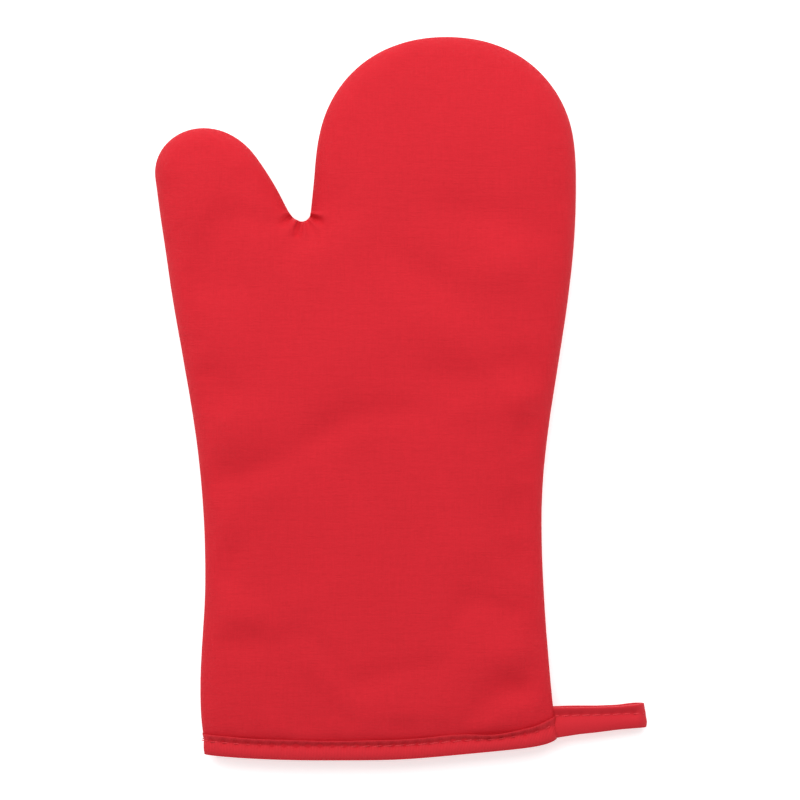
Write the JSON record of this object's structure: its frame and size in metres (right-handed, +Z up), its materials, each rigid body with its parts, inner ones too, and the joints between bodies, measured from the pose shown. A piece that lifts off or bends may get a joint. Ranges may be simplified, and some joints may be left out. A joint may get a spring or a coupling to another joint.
{
  "type": "oven mitt",
  "caption": "Padded, lined oven mitt with one thumb, a tape-bound cuff and a hanging loop in the side seam, lying flat; the fingers, thumb and loop fold.",
  "frame": {"origin": "middle of the footprint of mitt and hanging loop, on the surface that the mitt lies on", "axes": "+Y from the cuff to the fingertips, +Z up out of the front, +X across the hand away from the thumb"},
  "size_m": [0.2034, 0.3, 0.022],
  "materials": {
    "outer_cloth": "matte",
    "wadding": "matte",
    "lining_cloth": "matte",
    "binding_tape": "matte",
    "thread": "matte"
  },
  "bodies": {
    "palm": {"outer_front_palm": "outer_cloth", "outer_back_palm": "outer_cloth", "wadding_front_palm": "wadding", "wadding_back_palm": "wadding", "lining_front_palm": "lining_cloth", "lining_back_palm": "lining_cloth", "side_seam_thread_palm": "thread", "cuff_binding": "binding_tape", "binding_thread": "thread", "loop_anchor": "binding_tape"},
    "fingers": {"outer_front_fingers": "outer_cloth", "outer_back_fingers": "outer_cloth", "wadding_front_fingers": "wadding", "wadding_back_fingers": "wadding", "lining_front_fingers": "lining_cloth", "lining_back_fingers": "lining_cloth", "side_seam_thread_fingers": "thread"},
    "thumb": {"outer_front_thumb": "outer_cloth", "outer_back_thumb": "outer_cloth", "wadding_front_thumb": "wadding", "wadding_back_thumb": "wadding", "lining_front_thumb": "lining_cloth", "lining_back_thumb": "lining_cloth", "side_seam_thread_thumb": "thread"},
    "loop": {"hang_loop": "binding_tape", "loop_thread": "thread"}
  },
  "joints": [
    {"name": "knuckle_fold", "type": "hinge", "parent": "palm", "child": "fingers", "pos_m": [-0.00881, 0.096, 0.022], "axis": [1, 0, 0], "range_deg": [0, 70], "stiffness_Nm_per_rad": 0.02},
    {"name": "thumb_fold", "type": "hinge", "parent": "palm", "child": "thumb", "pos_m": [-0.14034, 0.01242, 0.022], "axis": [0.7771, 0.6293, 0], "range_deg": [0, 50], "stiffness_Nm_per_rad": 0.01},
    {"name": "loop_swing", "type": "hinge", "parent": "palm", "child": "loop", "pos_m": [0.06751, -0.1348, 0.009], "axis": [0, -1, 0], "range_deg": [-75, 75]}
  ]
}
